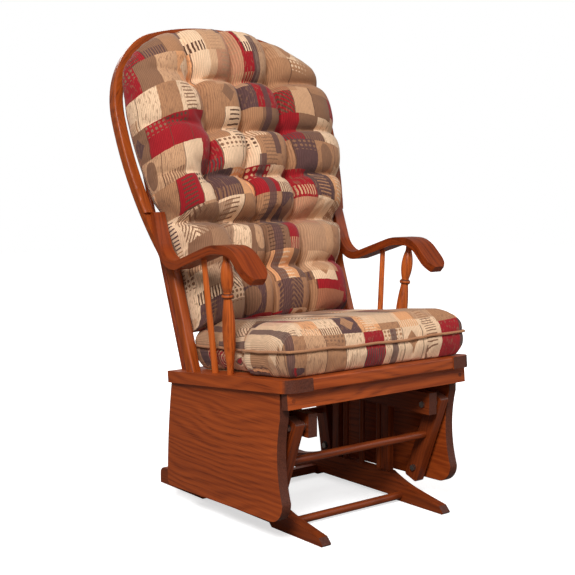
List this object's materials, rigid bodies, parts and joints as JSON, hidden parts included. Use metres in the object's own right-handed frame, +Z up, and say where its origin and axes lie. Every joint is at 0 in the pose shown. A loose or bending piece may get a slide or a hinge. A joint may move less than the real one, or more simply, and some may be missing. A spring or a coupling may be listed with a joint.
{
  "type": "glider chair",
  "caption": "Wooden bow-back glider chair: a cushioned seat with bent armrests hangs on swing arms from a low runner base and glides forward and back.",
  "frame": {"origin": "on the floor, at the centre of the bounding box", "axes": "+Z up, the front of the chair faces -Y, +X to the right of someone looking at its front"},
  "size_m": [0.7044, 0.7291, 1.2071],
  "materials": {
    "oak": "satin reddish-brown stain",
    "plywood": "matt, unfinished",
    "steel": "zinc plated",
    "brass": "plain",
    "bush": "matt",
    "upholstery": "woven patchwork"
  },
  "bodies": {
    "base": {"left_runner": "oak", "right_runner": "oak", "left_base_rail": "oak", "right_base_rail": "oak", "left_front_upright": "oak", "right_front_upright": "oak", "left_rear_upright": "oak", "right_rear_upright": "oak", "left_base_spindles": "oak", "right_base_spindles": "oak", "front_floor_stretcher": "oak", "rear_floor_stretcher": "oak", "upper_pivot_bolts": "steel", "upper_pivot_nuts": "steel", "upper_pivot_spacers": "steel"},
    "front_arms": {"left_front_arm": "oak", "right_front_arm": "oak", "front_arm_dowel": "oak", "front_arm_bushes": "bush"},
    "rear_arms": {"left_rear_arm": "oak", "right_rear_arm": "oak", "rear_arm_dowel": "oak", "rear_arm_bushes": "bush", "rear_arm_lower_bushes": "bush"},
    "seat": {"left_panel": "oak", "right_panel": "oak", "left_deck_board": "oak", "right_deck_board": "oak", "left_panel_cleat": "oak", "right_panel_cleat": "oak", "left_armrest": "oak", "right_armrest": "oak", "left_arm_post": "oak", "right_arm_post": "oak", "left_arm_spindle": "oak", "right_arm_spindle": "oak", "front_deck_board": "oak", "rear_deck_board": "oak", "seat_board": "plywood", "seat_cleats": "oak", "front_apron": "oak", "apron_plugs": "oak", "lower_pivot_bolts": "steel", "lower_pivot_inserts": "brass", "lower_pivot_spacers": "steel", "bow": "oak", "back_spindles": "oak", "seat_cushion": "upholstery", "back_cushion": "upholstery"}
  },
  "joints": [
    {"name": "front_arm_swing", "type": "hinge", "parent": "base", "child": "front_arms", "pos_m": [0, -0.2925, 0.259], "axis": [1, 0, 0], "range_deg": [-12, 12]},
    {"name": "rear_arm_swing", "type": "hinge", "parent": "base", "child": "rear_arms", "pos_m": [0, 0.1505, 0.259], "axis": [1, 0, 0], "range_deg": [-12, 12]},
    {"name": "seat_pivot", "type": "hinge", "parent": "front_arms", "child": "seat", "pos_m": [0, -0.22583, 0.08162], "axis": [1, 0, 0], "range_deg": [-15.6, 15.6]}
  ],
  "couplings": [
    {"joint": "rear_arm_swing", "follows": "front_arm_swing", "ratio": 0.9356},
    {"joint": "seat_pivot", "follows": "front_arm_swing", "ratio": -1.2836}
  ]
}
